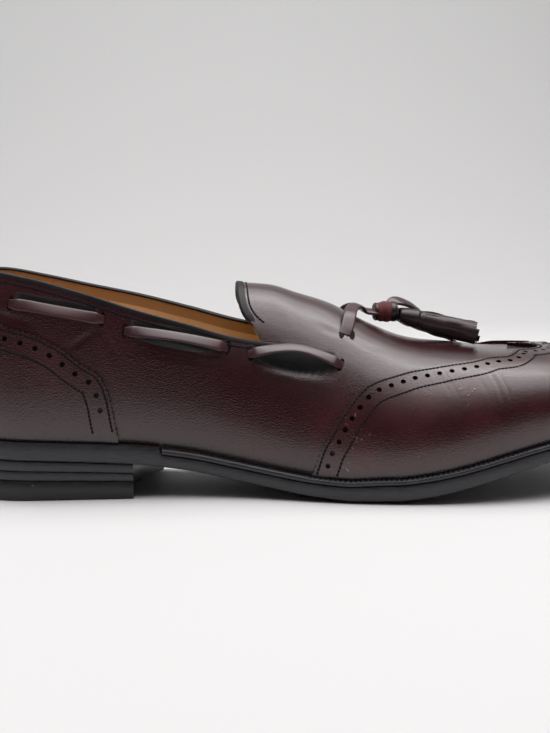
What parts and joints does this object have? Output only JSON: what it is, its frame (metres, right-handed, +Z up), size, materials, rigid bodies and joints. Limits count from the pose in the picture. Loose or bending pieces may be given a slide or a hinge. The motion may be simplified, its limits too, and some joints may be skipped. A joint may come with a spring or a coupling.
{
  "type": "tassel loafer",
  "caption": "Right full-brogue tassel loafer with wing cap, heel counter, threaded collar lace with two tassels, welted leather sole and stacked heel.",
  "frame": {"origin": "on the ground under the middle of the shoe", "axes": "+X from heel to toe, +Y to the inner side of this right shoe, +Z up"},
  "size_m": [0.305, 0.1042, 0.0966],
  "materials": {
    "upper_leather": "burgundy calf, polished to a gloss",
    "lace_leather": "thin burgundy leather strip, satin",
    "edge_binding": "near black, satin",
    "sock_leather": "tan, matte",
    "sole_edge": "dyed black edge, semi-matte",
    "heel_top": "black, matte"
  },
  "bodies": {
    "root": {"upper": "upper_leather", "wing_cap": "upper_leather", "heel_counter": "upper_leather", "collar_binding": "edge_binding", "tongue_binding": "edge_binding", "lace_run_lateral_1": "lace_leather", "lace_run_lateral_2": "lace_leather", "lace_run_lateral_3": "lace_leather", "lace_run_medial_1": "lace_leather", "lace_run_medial_2": "lace_leather", "lace_run_medial_3": "lace_leather", "lace_end_lateral": "lace_leather", "lace_end_medial": "lace_leather", "lace_knot": "lace_leather", "tassel_lateral": "lace_leather", "tassel_medial": "lace_leather", "insole": "sock_leather", "welt": "sole_edge", "outsole": "sole_edge", "heel_lift_1": "sole_edge", "heel_lift_2": "sole_edge", "heel_top_piece": "heel_top"}
  },
  "joints": []
}
